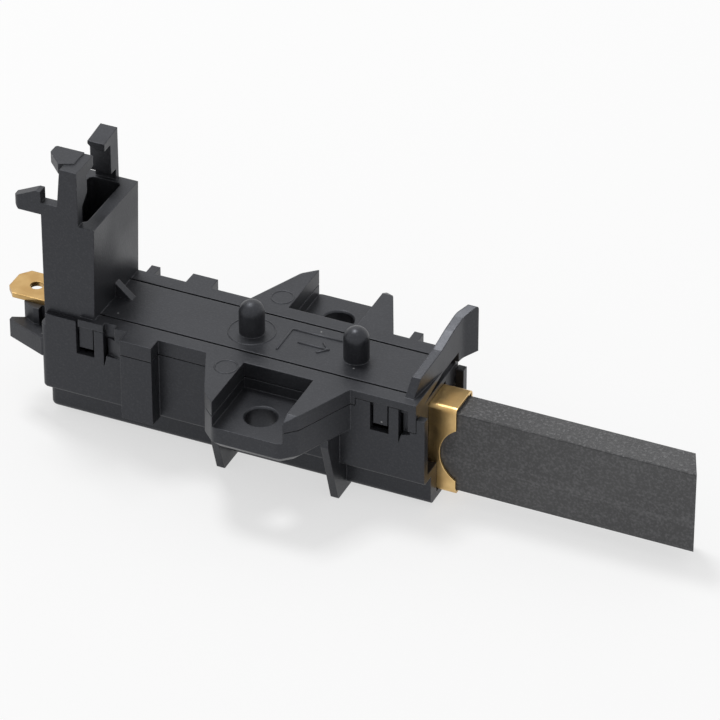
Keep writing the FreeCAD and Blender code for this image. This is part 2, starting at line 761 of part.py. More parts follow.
def shell_wings(body):
    """Wing plates with their screw pockets, holes and the fins below them."""
    for side, word in ((-1, "near"), (1, "far")):
        sketch = new_sketch(body, "wing_" + word, "XY_Plane")
        outline(sketch, wing_corners(side))
        pad(body, sketch, SPLIT + " - parting_gap")
    soften(body, "wing_corners", "Fillet", "wing_round", is_wing_corner)
    tip = value("wing_tip / 2")
    half = value("housing_width / 2")
    soften(body, "wing_undersides", "Chamfer", "wing_undercut", lambda x, y, z, way: near(z, 0)
           and x > tip - value("wing_round") / 2 and abs(y) > half)
    for side, word in ((-1, "near"), (1, "far")):
        sketch = new_sketch(body, "screw_pocket_" + word, "XY_Plane", SPLIT)
        rectangle(sketch, "-pocket_back", "pocket_front",
                  "%d * housing_width / 2" % side, "%d * (wing_span / 2 + wall)" % side)
        pocket(body, sketch, SPLIT + " - floor_thick")
    sketch = new_sketch(body, "screw_holes", "XY_Plane", "floor_thick")
    for side in (-1, 1):
        circle(sketch, "0", "%d * hole_spacing / 2" % side, "hole_bore / 2")
    pocket(body, sketch, "floor_thick")
    floor = value("floor_thick")
    hole = value("hole_spacing / 2")
    radius = value("hole_bore / 2")
    soften(body, "hole_rims", "Chamfer", "hole_rim", lambda x, y, z, way: near(z, floor)
           and near((x ** 2 + (abs(y) - hole) ** 2) ** 0.5, radius))
    for place, word in (("-fin_spacing / 2", "back"), ("fin_spacing / 2", "front")):
        sketch = new_sketch(body, "fin_" + word, "YZ_Plane", place)
        outline(sketch, [
            ("-fin_reach", "fin_root"),
            ("-fin_reach", "0"),
            ("-fin_foot", "-fin_depth"),
            ("fin_foot", "-fin_depth"),
            ("fin_reach", "0"),
            ("fin_reach", "fin_root"),
        ])
        pad(body, sketch, "fin_thick", both=True)
    depth = value("-fin_depth")
    foot = value("fin_foot")
    soften(body, "fin_tips", "Fillet", "fin_round", lambda x, y, z, way: near(z, depth)
           and near(abs(y), foot) and abs(way.x) > 0.99)


def shell_tongue(body):
    """Pointed tongue at the rear and the block that stands on it."""
    rear = "-housing_back"
    flank = "-" + HALF
    sketch = new_sketch(body, "tongue", "XY_Plane", "tongue_height - tongue_thick")
    tip = flank + " + tongue_inset + tongue_tip_near"
    outline(sketch, [
        (rear + " + wall / 2", flank + " + tongue_inset"),
        (rear, flank + " + tongue_inset"),
        (rear + " - tongue_reach", tip),
        (rear + " - tongue_reach", tip + " + tongue_tip"),
        (rear + " - tongue_reach + tongue_shoulder", tip + " + tongue_tip_far"),
        (rear, flank + " + tongue_inset + tongue_width"),
        (rear + " + wall / 2", flank + " + tongue_inset + tongue_width"),
    ])
    pad(body, sketch, "tongue_thick")
    sketch = new_sketch(body, "block", "XY_Plane", "tongue_height - tongue_thick / 2")
    slit = rear + " - block_slit_start"
    outline(sketch, [
        (rear + " + wall / 2", flank + " + block_near"),
        (slit, flank + " + block_near"),
        (slit, flank + " + block_near + block_nose"),
        (slit + " - block_slit", flank + " + block_near + block_nose"),
        (slit + " - block_slit", flank + " + block_near"),
        (rear + " - block_slope", flank + " + block_near"),
        (rear + " - block_reach", flank + " + block_near + block_nose"),
        (rear + " - block_reach", flank + " + block_far"),
        (rear + " + wall / 2", flank + " + block_far"),
    ])
    pad(body, sketch, SPLIT + " - tongue_height + tongue_thick / 2")


def shell_hollows(body):
    """Channel for the guide tube, hollow flanks beside it and the recess behind the front edge."""
    sketch = new_sketch(body, "channel", "XY_Plane", SPLIT)
    rectangle(sketch, CHAMBER_BACK, "housing_front + wall", "-" + CHANNEL, CHANNEL)
    pocket(body, sketch, "tube_height + 2 * fit_clear")
    sketch = new_sketch(body, "flank_hollows", "XY_Plane", SPLIT)
    inner = "tube_width / 2 + fit_clear + wall"
    outer = "housing_width / 2 - wall"
    fin = "(fin_spacing / 2 + fin_thick / 2)"
    spans = [
        (CHAMBER_BACK, "-" + fin + " - wall"),
        ("-" + fin, fin),
        (fin + " + wall", "front_wall_start - wall"),
    ]
    for start, end in spans:
        rectangle(sketch, start, end, inner, outer)
        rectangle(sketch, start, end, "-(" + outer + ")", "-(" + inner + ")")
    pocket(body, sketch, SPLIT + " + step_depth - wall")
    sketch = new_sketch(body, "front_slot", "XY_Plane", "deck_height")
    rectangle(sketch, "front_wall_start - fit_clear", WALL_FRONT + " + fit_clear",
              "-" + HALF + " - wall", HALF + " + wall")
    pocket(body, sketch, "front_wall_depth + fit_clear")
    sketch = new_sketch(body, "front_recess", "XY_Plane", "deck_height")
    rectangle(sketch, WALL_FRONT, "housing_front + wall", "-" + HALF + " + wall", HALF + " - wall")
    pocket(body, sketch, "deck_height + step_depth - wall")


def shell_windows(body):
    """Windows for the cover's lugs, each with a post and a slit beside it, and the ramps at the rear."""
    top = "deck_height + wall"
    for side, word in ((-1, "near"), (1, "far")):
        sketch = new_sketch(body, "windows_" + word, "XZ_Plane", "%d * housing_width / 2" % -side)
        for start, slot in (("-snap_back", "slit_width"), ("snap_front", "slot_length")):
            post = start + " + window_length + post_length"
            outline(sketch, [
                (start, "window_floor"),
                (start + " + window_length", "window_floor"),
                (start + " + window_length", POST_TOP),
                (post, POST_TOP),
                (post, "slit_floor"),
                (post + " + slit_width", "slot_floor - slit_drop"),
                (post + " + " + slot, "slot_floor"),
                (post + " + " + slot, top),
                (start, top),
            ])
        pocket(body, sketch, "wall", reverse=side > 0)
    sketch = new_sketch(body, "ramps", "XY_Plane", top)
    start = BACK_POST + " + slit_width / 2"
    for side in (-1, 1):
        outline(sketch, [
            (start, "%d * (housing_width / 2 + lip)" % side),
            (start, "%d * (housing_width / 2 - lip)" % side),
            (BACK_POST + " + ramp_length", "%d * housing_width / 2" % side),
            (BACK_POST + " + ramp_length", "%d * (housing_width / 2 + lip)" % side),
        ])
    pocket(body, sketch, top + " - slot_floor")


def shell_rounds(body):
    """Rounded lower edges, rear corners and step."""
    low = value("-keel_depth")
    keel = value("keel_width / 2")
    step = value("-step_depth")
    half = value("housing_width / 2")
    soften(body, "keel_edges", "Fillet", "edge_round", lambda x, y, z, way: near(z, low)
           and near(abs(y), keel) and abs(way.x) > 0.99)
    soften(body, "step_edges", "Fillet", "step_round", lambda x, y, z, way: near(z, step)
           and near(abs(y), half) and abs(way.x) > 0.99)


def make_shell():
    """Lower half of the holder."""
    body = new_body("shell")
    shell_walls(body)
    shell_wings(body)
    shell_tongue(body)
    shell_hollows(body)
    shell_windows(body)
    shell_rounds(body)
    return body


def make_guide_tube():
    """Folded brass tube with a round notch in each side of its open end."""
    body = new_body("guide_tube")
    start = SEAT_FACE + " + fit_clear"
    sketch = new_sketch(body, "tube_section", "YZ_Plane", start)
    rectangle(sketch, "-tube_width / 2", "tube_width / 2", TUBE_LOW, TUBE_TOP)
    pad(body, sketch, "tube_front - (" + start + ")")
    soften(body, "tube_corners", "Fillet", "tube_round", lambda x, y, z, way: abs(way.x) > 0.99)
    sketch = new_sketch(body, "tube_bore", "YZ_Plane", "tube_front")
    rectangle(sketch, "-tube_width / 2 + tube_wall", "tube_width / 2 - tube_wall",
              TUBE_LOW + " + tube_wall", TUBE_TOP + " - tube_wall")
    pocket(body, sketch, "tube_front - (" + start + ")")
    sketch = new_sketch(body, "end_notch", "XZ_Plane")
    radius = "((notch_height * notch_height / 4 + notch_depth * notch_depth) / (2 * notch_depth))"
    circle(sketch, "tube_front - notch_depth + " + radius, TUBE_MID + " - notch_drop", radius)
    pocket(body, sketch, "tube_width + wall", both=True)
    return body


def make_carbon():
    """Carbon block, free to slide in the tube, with its running face cut at an angle."""
    body = new_body("carbon")
    sketch = new_sketch(body, "carbon_plan", "XY_Plane", CARBON_MID)
    outline(sketch, [
        (CARBON_BACK, "-carbon_width / 2"),
        (CARBON_BACK + " + carbon_length", "-carbon_width / 2"),
        (CARBON_BACK + " + carbon_length - tip_bevel", "carbon_width / 2"),
        (CARBON_BACK, "carbon_width / 2"),
    ])
    pad(body, sketch, "carbon_height", both=True)
    soften(body, "carbon_edges", "Fillet", "carbon_round", lambda x, y, z, way: abs(way.x) > 0.99)
    return body


def make_terminal():
    """Brass terminal: the blade outside, and inside the plate that the spring pushes against."""
    body = new_body("blade_terminal")
    tip = "(-housing_back - blade_reach)"
    sketch = new_sketch(body, "blade", "XY_Plane", SPLIT)
    outline(sketch, [
        (tip, "-blade_nose / 2"),
        (tip + " + blade_point", "-blade_width / 2"),
        (SEAT_FACE, "-blade_width / 2"),
        (SEAT_FACE, "blade_width / 2"),
        (tip + " + blade_point", "blade_width / 2"),
        (tip, "blade_nose / 2"),
    ])
    pad(body, sketch, "blade_thick")
    sketch = new_sketch(body, "blade_eye", "XY_Plane", SPLIT + " + blade_thick")
    circle(sketch, tip + " + blade_hole_place", "0", "blade_hole / 2")
    pocket(body, sketch, "blade_thick")
    sketch = new_sketch(body, "seat_plate", "YZ_Plane", SEAT_FACE)
    rectangle(sketch, "-seat_plate_width / 2", "seat_plate_width / 2",
              TUBE_LOW + " + tube_wall", SPLIT + " + blade_thick / 2")
    pad(body, sketch, "blade_thick", reverse=True)
    corner_x = value(SEAT_FACE)
    corner_z = value(SPLIT + " + blade_thick")
    soften(body, "outer_bend", "Fillet", "bend_round", lambda x, y, z, way: near(x, corner_x)
           and near(z, corner_z) and abs(way.y) > 0.99)
    return body


def make_spring():
    """Helical spring between the terminal's plate and the back of the carbon, of six-sided wire."""
    body = new_body("spring")
    start = "(" + SEAT_FACE + " + spring_wire / 2 + fit_clear)"
    end = "(" + CARBON_BACK + " - spring_wire / 2 - seat_clear)"
    sketch = new_sketch(body, "wire_section", "XZ_Plane")
    across = start + " + spring_wire / 2 * cos(%d deg)"
    up = "(spring_width - spring_wire) / 2 + spring_wire / 2 * sin(%d deg)"
    outline(sketch, [(across % angle, up % angle) for angle in range(30, 390, 60)])
    helix = body.newObject("PartDesign::AdditiveHelix", "coil")
    helix.Profile = sketch
    axis = [item for item in body.Origin.OriginFeatures if item.Role == "X_Axis"][0]
    helix.ReferenceAxis = (axis, [""])
    helix.Mode = 2
    helix.setExpression("Height", bound(end + " - " + start))
    helix.setExpression("Turns", bound("spring_turns"))
    settle(helix)
    body.Placement.Base = FreeCAD.Vector(0, 0, value(CARBON_MID))
    return body


def make_shunt():
    """Copper shunt, pulled straight when the carbon is right out."""
    body = new_body("shunt")
    sketch = new_sketch(body, "shunt_section", "YZ_Plane", SEAT_FACE)
    circle(sketch, "0", CARBON_MID, "shunt_bore / 2")
    pad(body, sketch, CARBON_BACK + " - " + SEAT_FACE)
    return body


def check_and_write(bodies):
    """Check every object and each piece, then write one file per piece."""
    DOC.recompute()
    for item in DOC.Objects:
        if "Invalid" in item.State or "Error" in item.State:
            raise RuntimeError("%s did not build" % item.Name)
    for body in bodies:
        shape = body.Shape
        if shape.isNull() or not shape.isValid() or len(shape.Solids) != 1:
            raise RuntimeError("%s is not one sound solid" % body.Label)
    os.makedirs("parts", exist_ok=True)
    for body in bodies:
        body.Shape.exportStep("parts/%s.step" % body.Label)
        box = body.Shape.BoundBox
        print("%-15s volume %9.1f  x %7.2f %7.2f  y %7.2f %7.2f  z %7.2f %7.2f" % (
            body.Label, body.Shape.Volume, box.XMin, box.XMax, box.YMin, box.YMax, box.ZMin, box.ZMax))


check_and_write([
    make_cover(),
    make_shell(),
    make_guide_tube(),
    make_carbon(),
    make_terminal(),
    make_spring(),
    make_shunt(),
])
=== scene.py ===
"""Dresses the carbon brush: finishes, moulded marks on the holder, floor, light and camera.

Lengths are in metres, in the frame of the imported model: +X towards the tip of the carbon, +Z up
out of the deck, with the origin midway between the two screw holes on the seat under the wings.
"""
import math

import bmesh
import bpy
from bpy.props import FloatProperty, FloatVectorProperty, PointerProperty
from mathutils import Matrix, Vector


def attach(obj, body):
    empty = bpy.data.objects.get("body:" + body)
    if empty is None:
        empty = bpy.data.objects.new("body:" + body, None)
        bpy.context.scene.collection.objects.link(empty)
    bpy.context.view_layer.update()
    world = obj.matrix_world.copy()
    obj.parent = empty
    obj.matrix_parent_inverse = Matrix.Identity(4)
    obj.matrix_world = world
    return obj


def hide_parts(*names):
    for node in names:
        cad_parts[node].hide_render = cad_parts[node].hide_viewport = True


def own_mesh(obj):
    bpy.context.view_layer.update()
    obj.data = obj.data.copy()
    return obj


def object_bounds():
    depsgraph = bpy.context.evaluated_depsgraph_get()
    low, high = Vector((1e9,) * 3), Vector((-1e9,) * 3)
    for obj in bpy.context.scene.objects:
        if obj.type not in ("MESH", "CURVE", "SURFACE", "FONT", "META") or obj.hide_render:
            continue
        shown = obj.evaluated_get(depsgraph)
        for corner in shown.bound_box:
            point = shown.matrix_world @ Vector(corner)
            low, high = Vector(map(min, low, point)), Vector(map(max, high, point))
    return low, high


bl_info = {
    "name": "Carbon Brush Dresser",
    "version": (1, 0, 0),
    "blender": (4, 5, 0),
    "location": "3D View > Sidebar > Carbon Brush",
    "description": "Finishes, moulded marks and studio for a carbon brush in its holder",
    "category": "Object",
}

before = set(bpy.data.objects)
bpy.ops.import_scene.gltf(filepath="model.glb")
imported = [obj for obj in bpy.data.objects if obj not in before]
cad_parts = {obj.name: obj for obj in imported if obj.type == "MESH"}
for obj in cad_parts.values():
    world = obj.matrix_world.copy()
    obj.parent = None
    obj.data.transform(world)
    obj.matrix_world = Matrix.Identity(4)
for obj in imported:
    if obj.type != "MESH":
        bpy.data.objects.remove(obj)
CAD_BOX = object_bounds()

# Height of the deck over the seat under the wings
DECK_TOP = 0.0082

# Points nearer than this are one, and faces that meet at more than this angle keep a sharp edge
MERGE_DISTANCE = 0.000001
SHARP_ANGLE = math.radians(50)

# Marks: steps of a ring, the angles of its half-round section, and the bevel as a share of a line's height
RING_STEPS = 48
RING_SECTION = (0, 45, 90, 135, 180)
BEAD_BEVEL = 0.8

# Patterns: the ends of a range of the pattern, then what each end gives
EDGE_MASK = (0.995, 0.80, 0.0, 1.0)
SPECK_SPOT = (0.28, 0.06, 0.0, 1.0)
DUST_SPOT = (0.11, 0.06, 0.0, 1.0)
SLOW_DRIFT = (0.35, 0.65, 0.0, 1.0)
DRIFT_LENGTHS = 26.0

# Plastic: share of the lighter colour in the painted highlight along the edges, broken up by the grain, on
# the grain's tips and in the slow drift
EDGE_HIGHLIGHT_RANGE = (0.40, 0.62, 0.15, 0.75)
GRAIN_TIPS = (0.48, 0.75, 0.0, 0.30)
PLASTIC_DRIFT = (0.0, 1.0, 0.0, 0.12)

# Carbon: share of the dust colour in each layer, and how far up or down its narrow sides look
FINE_MOTTLE = (0.42, 0.66, -0.06, 0.46)
STREAKS = (0.42, 0.66, -0.05, 0.07)
BLOTCHES = (0.34, 0.54, -0.14, 0.05)
BAND_BREAK = (0.40, 0.60, 0.0, 0.16)
CRUMBS = (0.46, 0.66, -0.36, 0.62)
NARROW_SIDE = (0.2, 0.6, 0.0, 1.0)
SPECK_SHARE = 0.20
# Share of the dust colour along every edge: a painted highlight
EDGE_HIGHLIGHT_SHARE = 0.30
BAND_CORE = 0.4
CRUMB_SCALE = 1.1
STREAK_STRETCH = (0.06, 1.0, 1.0)

# Brass: dull patches and the painted highlight on its edges as shares of its colour, and the directions of
# the drawing lines
BROWN = (0.50, 0.42, 0.32)
HIGHLIGHT_GAIN = 1.25
HIGHLIGHT_SHARE = 0.5
TUBE_STRETCH = (0.08, 1.0, 1.0)
BLADE_STRETCH = (1.0, 0.08, 1.0)

# Wires: slant and waver of their lines, the colour between them and their depth as a share of the spacing
WIRE_SLANT = math.radians(35)
WIRE_WAVER = 1.5
WIRE_SHADE = 0.55
WIRE_DEPTH = 0.1

# Stage: half the side of the floor, its gap under the part, and the camera's sensor in millimetres
FLOOR_SIZE = 6.0
FLOOR_GAP = 0.00005
FLOOR_ROUGHNESS = 0.9
SENSOR = 36.0
CLIP = (0.01, 20.0)
WHITE = (1.0, 1.0, 1.0, 1.0)


# Settings


class PlasticSettings(bpy.types.PropertyGroup):
    """Moulded black plastic of the cover and the shell."""

    colour: FloatVectorProperty(
        name="Colour", description="Colour of the bare moulding", subtype="COLOR", size=3, min=0, max=1,
        default=(0.0105, 0.0110, 0.0130))
    # Lighter colour of the grain's tips, and of the painted highlight along the edges
    grain_and_highlight_colour: FloatVectorProperty(
        name="Grain and highlight colour", description="Colour of the painted edge highlight and of the grain's tips", subtype="COLOR",
        size=3, min=0, max=1, default=(0.060, 0.061, 0.066))
    dust_colour: FloatVectorProperty(
        name="Dust colour", description="Colour of the few pale specks", subtype="COLOR", size=3, min=0,
        max=1, default=(0.26, 0.26, 0.26))
    roughness: FloatProperty(
        name="Roughness", description="Roughness of the faces", subtype="FACTOR", min=0, max=1, default=0.40)
    polish: FloatProperty(
        name="Polish", description="How much smoother some places are", subtype="FACTOR", min=0, max=1,
        default=0.05)
    matting: FloatProperty(
        name="Matting", description="How much rougher other places are", subtype="FACTOR", min=0, max=1,
        default=0.06)
    refraction: FloatProperty(
        name="Refraction", description="Refractive index of the moulding", default=1.49, min=1)
    gloss_tint: FloatVectorProperty(
        name="Gloss tint", description="Tint of the reflections on the moulding", subtype="COLOR", size=3,
        min=0, max=1, default=(0.88, 0.91, 1.0))
    grain_length: FloatProperty(
        name="Grain", description="Size of the eroded grain that the mould leaves", unit="LENGTH",
        default=0.00030, min=0.00005, precision=5)
    grain_height: FloatProperty(
        name="Grain height", description="Height of the grain", unit="LENGTH", default=0.000022, precision=6)
    edge_round: FloatProperty(
        name="Edge round", description="Radius that catches the light along every edge", unit="LENGTH",
        default=0.00022, precision=5)
    speck_spacing: FloatProperty(
        name="Speck spacing", description="Size of the cells that may hold a pale speck", unit="LENGTH",
        default=0.0016, precision=5)
    speck_amount: FloatProperty(
        name="Speck amount", description="Share of the cells that hold one", subtype="FACTOR", min=0, max=1,
        default=0.018)


class CarbonSettings(bpy.types.PropertyGroup):
    """Pressed carbon block."""

    colour: FloatVectorProperty(
        name="Colour", description="Colour of the pressed block", subtype="COLOR", size=3, min=0, max=1,
        default=(0.055, 0.055, 0.057))
    # The dust colour also makes the painted highlight along the edges
    dust_colour: FloatVectorProperty(
        name="Dust colour", description="Colour of graphite specks and rubbed streaks", subtype="COLOR",
        size=3, min=0, max=1, default=(0.15, 0.15, 0.155))
    roughness: FloatProperty(
        name="Roughness", description="Roughness of the block", subtype="FACTOR", min=0, max=1, default=0.55)
    polish: FloatProperty(
        name="Polish", description="How much smoother some places are", subtype="FACTOR", min=0, max=1,
        default=0.05)
    matting: FloatProperty(
        name="Matting", description="How much rougher other places are", subtype="FACTOR", min=0, max=1,
        default=0.08)
    refraction: FloatProperty(
        name="Refraction", description="Refractive index of the block", default=1.5, min=1)
    press_height: FloatProperty(
        name="Pressed height", description="Height of the pressed grain", unit="LENGTH", default=0.00005,
        precision=6)
    crumb_height: FloatProperty(
        name="Crumb height", description="Height of the crumbs on the narrow sides", unit="LENGTH",
        default=0.00030, precision=6)
    edge_round: FloatProperty(
        name="Edge round", description="Radius of the rounded edges, which carry a painted highlight", unit="LENGTH", default=0.00028,
        precision=5)
    speck_length: FloatProperty(
        name="Speck", description="Size of the specks", unit="LENGTH", default=0.0004, precision=5)
    blotch_length: FloatProperty(
        name="Blotch", description="Size of the darker blotches", unit="LENGTH", default=0.0015, precision=5)
    # A lighter band of the dust colour across the broad sides
    band_height: FloatProperty(
        name="Lighter band", description="Height of the lighter band on the broad sides", unit="LENGTH",
        default=-0.0035, precision=5)
    band_width: FloatProperty(
        name="Band width", description="Half width of the lighter band", unit="LENGTH", default=0.0011,
        precision=5)


class BrassSettings(bpy.types.PropertyGroup):
    """Brass of the guide tube and of the terminal."""

    tube_colour: FloatVectorProperty(
        name="Tube colour", description="Brass of the folded tube", subtype="COLOR", size=3, min=0, max=1,
        default=(0.82, 0.570, 0.255))
    blade_colour: FloatVectorProperty(
        name="Blade colour", description="Brass of the terminal", subtype="COLOR", size=3, min=0, max=1,
        default=(0.60, 0.400, 0.168))
    roughness: FloatProperty(
        name="Roughness", description="Roughness of the rolled sheet", subtype="FACTOR", min=0, max=1,
        default=0.30)
    matting: FloatProperty(
        name="Matting", description="How much rougher the dull patches are", subtype="FACTOR", min=0,
        max=1, default=0.12)
    tarnish: FloatProperty(
        name="Tarnish", description="How far the dull patches darken the sheet", subtype="FACTOR", min=0,
        max=1, default=0.55)
    edge_round: FloatProperty(
        name="Edge round", description="Radius of the bright edges", unit="LENGTH", default=0.00015,
        precision=5)
    line_length: FloatProperty(
        name="Drawing lines", description="Spacing of the drawing lines", unit="LENGTH", default=0.00012,
        precision=5)
    line_height: FloatProperty(
        name="Line height", description="Height of the drawing lines", unit="LENGTH", default=0.000006,
        precision=6)
    patch_length: FloatProperty(
        name="Patches", description="Grain from which the dull patches are drawn out", unit="LENGTH",
        default=0.00011, precision=5)


class LeadSettings(bpy.types.PropertyGroup):
    """Spring steel and copper strands inside the tube."""

    steel_colour: FloatVectorProperty(
        name="Steel colour", description="Colour of the spring", subtype="COLOR", size=3, min=0, max=1,
        default=(0.50, 0.50, 0.52))
    copper_colour: FloatVectorProperty(
        name="Copper colour", description="Colour of the shunt", subtype="COLOR", size=3, min=0, max=1,
        default=(0.78, 0.36, 0.20))
    roughness: FloatProperty(
        name="Roughness", description="Roughness of the wires", subtype="FACTOR", min=0, max=1, default=0.38)
    draw_length: FloatProperty(
        name="Draw lines", description="Spacing of the drawing lines on the spring", unit="LENGTH",
        default=0.0004, precision=5)
    strand_length: FloatProperty(
        name="Strand", description="Lay of the copper strands", unit="LENGTH", default=0.0009, precision=5)


class MarkSettings(bpy.types.PropertyGroup):
    """Fine marks that the mould leaves on the deck; places are X and Y on the deck."""

    line_width: FloatProperty(
        name="Line width", description="Width of the raised lines on the deck", unit="LENGTH",
        default=0.00036, precision=5)
    line_height: FloatProperty(
        name="Line height", description="Height of the raised lines", unit="LENGTH", default=0.00020,
        precision=6)
    line_near: FloatVectorProperty(
        name="Line, near end", description="End of the corner line towards the near side", unit="LENGTH",
        size=2, default=(-0.00240, -0.00260), precision=5)
    line_corner: FloatVectorProperty(
        name="Line, corner", description="Corner of the line", unit="LENGTH", size=2,
        default=(-0.00245, 0.00285), precision=5)
    line_front: FloatVectorProperty(
        name="Line, front end", description="End of the corner line towards the carbon", unit="LENGTH",
        size=2, default=(0.00530, 0.00290), precision=5)
    arrow_tail: FloatVectorProperty(
        name="Arrow, tail", description="Rear end of the plain arrow", unit="LENGTH", size=2,
        default=(-0.00020, 0.00010), precision=5)
    arrow_tip: FloatVectorProperty(
        name="Arrow, tip", description="Tip of the plain arrow, towards the carbon", unit="LENGTH", size=2,
        default=(0.00440, 0.00010), precision=5)
    arrow_head: FloatProperty(
        name="Arrow head", description="Length and half width of the arrow's head", unit="LENGTH",
        default=0.00120, precision=5)
    ring_width: FloatProperty(
        name="Ring width", description="Width of the round marks' rims", unit="LENGTH", default=0.00030,
        precision=5)
    ring_height: FloatProperty(
        name="Ring height", description="Height of the round marks' rims", unit="LENGTH", default=0.00008,
        precision=6)
    pin_place: FloatVectorProperty(
        name="Rear pin", description="Foot of the rear pin", unit="LENGTH", size=2,
        default=(-0.00757, 0.0), precision=5)
    pin_ring: FloatProperty(
        name="Pin ring", description="Radius of the faint ring round the rear pin", unit="LENGTH",
        default=0.00345, precision=5)
    push_near: FloatVectorProperty(
        name="Push mark, near", description="Ejector mark on the near gusset", unit="LENGTH", size=2,
        default=(-0.00715, -0.00960), precision=5)
    push_far: FloatVectorProperty(
        name="Push mark, far", description="Ejector mark on the far gusset", unit="LENGTH", size=2,
        default=(-0.00720, 0.00970), precision=5)
    push_ring: FloatProperty(
        name="Push ring", description="Radius of the ejector marks", unit="LENGTH", default=0.00163,
        precision=5)


class StudioSettings(bpy.types.PropertyGroup):
    """Floor, light and camera."""

    camera_place: FloatVectorProperty(
        name="Camera place", description="Where the camera stands", subtype="TRANSLATION", unit="LENGTH",
        size=3, default=(0.2601, -0.5605, 0.4342))
    camera_turn: FloatVectorProperty(
        name="Camera turn", description="Which way the camera looks", subtype="EULER", size=3,
        default=(math.radians(55.232), 0.0, math.radians(24.095)))
    lens: FloatProperty(
        name="Lens", description="Focal length on a 36 mm sensor", unit="CAMERA", default=261.9)
    floor_colour: FloatVectorProperty(
        name="Floor colour", description="Colour of the floor", subtype="COLOR", size=3, min=0, max=1,
        default=(0.94, 0.94, 0.94))
    floor_glow: FloatProperty(
        name="Floor glow", description="Share of the floor's white that no shadow takes away", default=0.62,
        subtype="FACTOR", min=0, max=1)
    sky: FloatProperty(
        name="Sky", description="Strength of the even light from all round", default=0.54, min=0)
    lamp_power: FloatProperty(
        name="Lamp", description="Power of the lamp high over the object", subtype="POWER", default=7.0,
        min=0)
    lamp_size: FloatProperty(
        name="Lamp size", description="Side of the square lamp", unit="LENGTH", default=0.30, min=0)
    lamp_place: FloatVectorProperty(
        name="Lamp place", description="Where the lamp hangs", subtype="TRANSLATION", unit="LENGTH", size=3,
        default=(-0.37, 0.22, 1.15))


SETTINGS = {
    "brush_plastic": PlasticSettings,
    "brush_carbon": CarbonSettings,
    "brush_brass": BrassSettings,
    "brush_leads": LeadSettings,
    "brush_marks": MarkSettings,
    "brush_studio": StudioSettings,
}


# Shader parts


def put(tree, kind, place, **values):
    """Node of a kind at a place in the tree, with its properties and plain inputs set by name."""
    node = tree.nodes.new(kind)
    node.location = place
    for name, setting in values.items():
        if hasattr(node, name):
            setattr(node, name, setting)
        else:
            node.inputs[name.replace("_", " ")].default_value = setting
    return node


def mix_colour(tree, place, factor, first, second):
    """Colour mix; each of factor, first and second is a socket or a plain value."""
    node = put(tree, "ShaderNodeMix", place, data_type="RGBA")
    # Inputs 6 and 7 and output 2 of this node are its colours
    for socket, item in ((node.inputs[0], factor), (node.inputs[6], first), (node.inputs[7], second)):
        if isinstance(item, bpy.types.NodeSocket):
            tree.links.new(item, socket)
        else:
            socket.default_value = item
    return node.outputs[2]


def calculate(tree, place, operation, *items):
    """Math node on sockets or plain values."""
    node = put(tree, "ShaderNodeMath", place, operation=operation)
    for socket, item in zip(node.inputs, items):
        if isinstance(item, bpy.types.NodeSocket):
            tree.links.new(item, socket)
        else:
            socket.default_value = item
    return node.outputs[0]


def remap(tree, place, item, low, high, to_low=0.0, to_high=1.0):
    """Value brought from one range to another, held at its ends."""
    node = put(tree, "ShaderNodeMapRange", place)
    tree.links.new(item, node.inputs[0])
    for socket, number in zip(node.inputs[1:5], (low, high, to_low, to_high)):
        socket.default_value = number
    return node.outputs[0]


def seen_share(tree):
    """1 for rays from the camera, off gloss or through glass, and 0 for rays that only light."""
    path = put(tree, "ShaderNodeLightPath", (-900, 0))
    straight = calculate(tree, (-700, 0), "MAXIMUM", path.outputs["Is Camera Ray"],
                         path.outputs["Is Glossy Ray"])
    return calculate(tree, (-500, 0), "MAXIMUM", straight, path.outputs["Is Transmission Ray"])


def rgba(colour):
    """Colour with full alpha."""
    return (*colour, 1.0)


def new_group(name, inputs, outputs):
    """Empty node group with its sockets; returns the tree and its two end nodes."""
    tree = bpy.data.node_groups.new(name, "ShaderNodeTree")
    for label, kind, value in inputs:
        tree.interface.new_socket(label, in_out="INPUT", socket_type=kind).default_value = value
    for label, kind in outputs:
        tree.interface.new_socket(label, in_out="OUTPUT", socket_type=kind)
    start = tree.nodes.new("NodeGroupInput")
    start.location = (-900, 0)
    end = tree.nodes.new("NodeGroupOutput")
    end.location = (600, 0)
    return tree, start, end


def soft_edge_group():
    """Rounded normal along edges, and a mask that is 1 on the edge and 0 on the faces."""
    found = bpy.data.node_groups.get("Soft Edge")
    if found:
        return found
    tree, start, end = new_group(
        "Soft Edge", [("Radius", "NodeSocketFloat", 0.0002)],
        [("Normal", "NodeSocketVector"), ("Mask", "NodeSocketFloat")])
    bevel = put(tree, "ShaderNodeBevel", (-600, 100), samples=6)
    tree.links.new(start.outputs["Radius"], bevel.inputs["Radius"])
    flat = put(tree, "ShaderNodeNewGeometry", (-600, -150))
    dot = put(tree, "ShaderNodeVectorMath", (-350, 0), operation="DOT_PRODUCT")
    tree.links.new(bevel.outputs["Normal"], dot.inputs[0])
    tree.links.new(flat.outputs["Normal"], dot.inputs[1])
    mask = remap(tree, (-100, 0), dot.outputs["Value"], *EDGE_MASK)
    tree.links.new(bevel.outputs["Normal"], end.inputs["Normal"])
    tree.links.new(mask, end.inputs["Mask"])
    return tree


